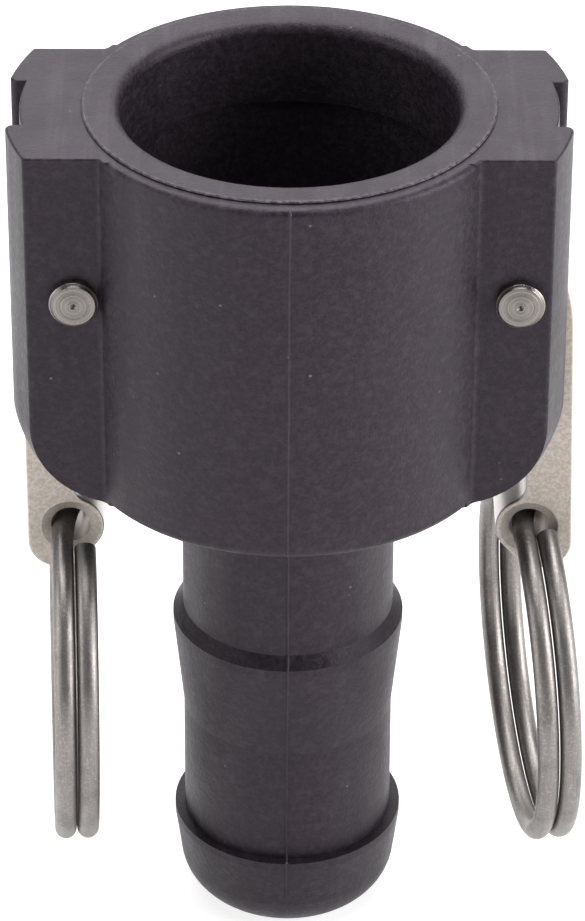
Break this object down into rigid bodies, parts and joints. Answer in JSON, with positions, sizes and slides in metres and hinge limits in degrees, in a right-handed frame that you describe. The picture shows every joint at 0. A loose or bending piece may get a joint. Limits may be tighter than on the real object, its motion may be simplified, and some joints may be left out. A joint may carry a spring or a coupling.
{
  "type": "camlock coupling",
  "caption": "Female camlock coupler with a hose shank: a moulded plastic body, folding steel cam arms on pins, and a split ring through the foot of each arm.",
  "frame": {"origin": "centre of the shank's flat end face, on the coupling's axis", "axes": "+Z along the coupling's axis from the hose shank to the mouth; the arms lie on the X axis; the hinge pins run along Y"},
  "size_m": [0.0646, 0.0486, 0.1054],
  "materials": {
    "body_plastic": "satin moulded polypropylene, charcoal black",
    "gasket_rubber": "smooth black nitrile",
    "arm_steel": "blasted stainless casting",
    "pin_steel": "turned stainless",
    "ring_steel": "drawn stainless wire"
  },
  "bodies": {
    "coupler": {"coupling_body": "body_plastic", "gasket": "gasket_rubber", "left_hinge_pin": "pin_steel", "right_hinge_pin": "pin_steel"},
    "left_arm": {"left_cam_arm": "arm_steel"},
    "right_arm": {"right_cam_arm": "arm_steel"},
    "left_pull": {"left_ring": "ring_steel"},
    "right_pull": {"right_ring": "ring_steel"}
  },
  "joints": [
    {"name": "left_arm_hinge", "type": "hinge", "parent": "coupler", "child": "left_arm", "pos_m": [-0.0235, 0, 0.0874], "axis": [0, 1, 0], "range_deg": [0, 105]},
    {"name": "right_arm_hinge", "type": "hinge", "parent": "coupler", "child": "right_arm", "pos_m": [0.02525, 0, 0.0874], "axis": [0, -1, 0], "range_deg": [-1.5, 103.5]},
    {"name": "left_ring_swing", "type": "hinge", "parent": "left_arm", "child": "left_pull", "pos_m": [-0.02492, 0, 0.05285], "axis": [0, 1, 0], "range_deg": [-12, 120]},
    {"name": "right_ring_swing", "type": "hinge", "parent": "right_arm", "child": "right_pull", "pos_m": [0.02757, 0, 0.0529], "axis": [0, -1, 0], "range_deg": [-12, 120]}
  ]
}
